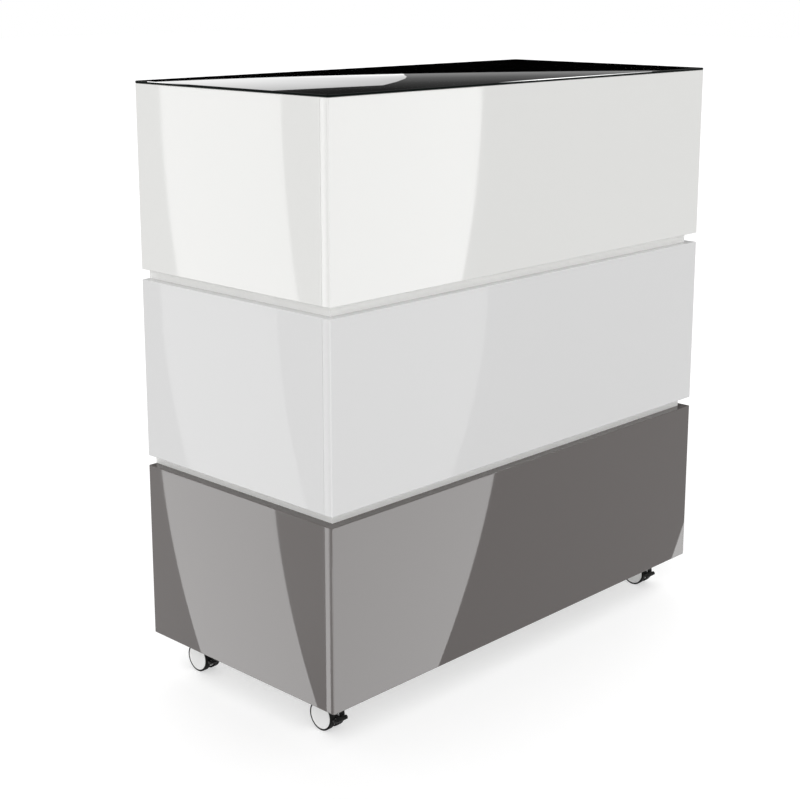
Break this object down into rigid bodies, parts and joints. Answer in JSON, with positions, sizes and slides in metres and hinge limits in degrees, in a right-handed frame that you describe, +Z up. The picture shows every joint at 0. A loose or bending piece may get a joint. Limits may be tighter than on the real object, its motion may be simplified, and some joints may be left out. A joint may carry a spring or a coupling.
{
  "type": "reception desk",
  "caption": "Standing-height mobile reception counter with gloss panel bands parted by shadow gaps, a black glass top, rear shelves and braked twin-wheel castors.",
  "frame": {"origin": "on the floor, under the middle of the counter's footprint", "axes": "+X along the long front, to the right of someone who faces it; the front faces -Y; +Z up"},
  "size_m": [1.1, 0.52, 1.169],
  "materials": {
    "white_lacquer": "high-gloss lacquer",
    "light_grey_lacquer": "high-gloss lacquer",
    "dark_grey_lacquer": "high-gloss lacquer",
    "white_board": "satin melamine",
    "black_glass": "polished, painted behind",
    "bonding_pad": "matte",
    "zinc_steel": "zinc plated",
    "castor_black": "moulded satin",
    "castor_white": "moulded gloss",
    "castor_tyre": "matte"
  },
  "bodies": {
    "counter": {"front_panel_lower": "dark_grey_lacquer", "left_panel_lower": "dark_grey_lacquer", "right_panel_lower": "dark_grey_lacquer", "front_panel_middle": "light_grey_lacquer", "left_panel_middle": "light_grey_lacquer", "right_panel_middle": "light_grey_lacquer", "front_panel_upper": "white_lacquer", "left_panel_upper": "white_lacquer", "right_panel_upper": "white_lacquer", "carcass_bottom": "white_board", "carcass_side_left": "white_board", "carcass_side_right": "white_board", "carcass_front": "white_board", "carcass_top": "white_board", "shelf_lower": "white_board", "shelf_upper": "white_board", "shelf_pins": "zinc_steel", "carcass_screws": "zinc_steel", "panel_screws": "zinc_steel", "castor_screws": "zinc_steel", "castor_kingpins": "zinc_steel", "glass_top": "black_glass", "glass_pads": "bonding_pad", "castor_front_left_plate": "zinc_steel", "castor_front_right_plate": "zinc_steel", "castor_rear_left_plate": "zinc_steel", "castor_rear_right_plate": "zinc_steel"},
    "front_left_swivel": {"castor_front_left_body": "castor_black", "castor_front_left_axle": "zinc_steel"},
    "front_left_pedal": {"castor_front_left_pedal": "castor_black"},
    "front_left_wheel_left": {"castor_front_left_wheel_left": "castor_white", "castor_front_left_tyre_left": "castor_tyre"},
    "front_left_wheel_right": {"castor_front_left_wheel_right": "castor_white", "castor_front_left_tyre_right": "castor_tyre"},
    "front_right_swivel": {"castor_front_right_body": "castor_black", "castor_front_right_axle": "zinc_steel"},
    "front_right_pedal": {"castor_front_right_pedal": "castor_black"},
    "front_right_wheel_left": {"castor_front_right_wheel_left": "castor_white", "castor_front_right_tyre_left": "castor_tyre"},
    "front_right_wheel_right": {"castor_front_right_wheel_right": "castor_white", "castor_front_right_tyre_right": "castor_tyre"},
    "rear_left_swivel": {"castor_rear_left_body": "castor_black", "castor_rear_left_axle": "zinc_steel"},
    "rear_left_pedal": {"castor_rear_left_pedal": "castor_black"},
    "rear_left_wheel_left": {"castor_rear_left_wheel_left": "castor_white", "castor_rear_left_tyre_left": "castor_tyre"},
    "rear_left_wheel_right": {"castor_rear_left_wheel_right": "castor_white", "castor_rear_left_tyre_right": "castor_tyre"},
    "rear_right_swivel": {"castor_rear_right_body": "castor_black", "castor_rear_right_axle": "zinc_steel"},
    "rear_right_pedal": {"castor_rear_right_pedal": "castor_black"},
    "rear_right_wheel_left": {"castor_rear_right_wheel_left": "castor_white", "castor_rear_right_tyre_left": "castor_tyre"},
    "rear_right_wheel_right": {"castor_rear_right_wheel_right": "castor_white", "castor_rear_right_tyre_right": "castor_tyre"}
  },
  "joints": [
    {"name": "front_left_swivel", "type": "hinge", "parent": "counter", "child": "front_left_swivel", "pos_m": [-0.4885, -0.1605, 0.0705], "axis": [0, 0, 1], "continuous": true},
    {"name": "front_left_spin_left", "type": "hinge", "parent": "front_left_swivel", "child": "front_left_wheel_left", "pos_m": [-0.5007, -0.1775, 0.0285], "axis": [1, 0, 0], "continuous": true},
    {"name": "front_left_spin_right", "type": "hinge", "parent": "front_left_swivel", "child": "front_left_wheel_right", "pos_m": [-0.4763, -0.1775, 0.0285], "axis": [1, 0, 0], "continuous": true},
    {"name": "front_left_brake", "type": "hinge", "parent": "front_left_swivel", "child": "front_left_pedal", "pos_m": [-0.4885, -0.1775, 0.0285], "axis": [-1, 0, 0], "range_deg": [0, 20]},
    {"name": "front_right_swivel", "type": "hinge", "parent": "counter", "child": "front_right_swivel", "pos_m": [0.4885, -0.1605, 0.0705], "axis": [0, 0, 1], "continuous": true},
    {"name": "front_right_spin_left", "type": "hinge", "parent": "front_right_swivel", "child": "front_right_wheel_left", "pos_m": [0.4763, -0.1775, 0.0285], "axis": [1, 0, 0], "continuous": true},
    {"name": "front_right_spin_right", "type": "hinge", "parent": "front_right_swivel", "child": "front_right_wheel_right", "pos_m": [0.5007, -0.1775, 0.0285], "axis": [1, 0, 0], "continuous": true},
    {"name": "front_right_brake", "type": "hinge", "parent": "front_right_swivel", "child": "front_right_pedal", "pos_m": [0.4885, -0.1775, 0.0285], "axis": [-1, 0, 0], "range_deg": [0, 20]},
    {"name": "rear_left_swivel", "type": "hinge", "parent": "counter", "child": "rear_left_swivel", "pos_m": [-0.4885, 0.1985, 0.0705], "axis": [0, 0, 1], "continuous": true},
    {"name": "rear_left_spin_left", "type": "hinge", "parent": "rear_left_swivel", "child": "rear_left_wheel_left", "pos_m": [-0.5007, 0.1815, 0.0285], "axis": [1, 0, 0], "continuous": true},
    {"name": "rear_left_spin_right", "type": "hinge", "parent": "rear_left_swivel", "child": "rear_left_wheel_right", "pos_m": [-0.4763, 0.1815, 0.0285], "axis": [1, 0, 0], "continuous": true},
    {"name": "rear_left_brake", "type": "hinge", "parent": "rear_left_swivel", "child": "rear_left_pedal", "pos_m": [-0.4885, 0.1815, 0.0285], "axis": [-1, 0, 0], "range_deg": [0, 20]},
    {"name": "rear_right_swivel", "type": "hinge", "parent": "counter", "child": "rear_right_swivel", "pos_m": [0.4885, 0.1985, 0.0705], "axis": [0, 0, 1], "continuous": true},
    {"name": "rear_right_spin_left", "type": "hinge", "parent": "rear_right_swivel", "child": "rear_right_wheel_left", "pos_m": [0.4763, 0.1815, 0.0285], "axis": [1, 0, 0], "continuous": true},
    {"name": "rear_right_spin_right", "type": "hinge", "parent": "rear_right_swivel", "child": "rear_right_wheel_right", "pos_m": [0.5007, 0.1815, 0.0285], "axis": [1, 0, 0], "continuous": true},
    {"name": "rear_right_brake", "type": "hinge", "parent": "rear_right_swivel", "child": "rear_right_pedal", "pos_m": [0.4885, 0.1815, 0.0285], "axis": [-1, 0, 0], "range_deg": [0, 20]}
  ]
}
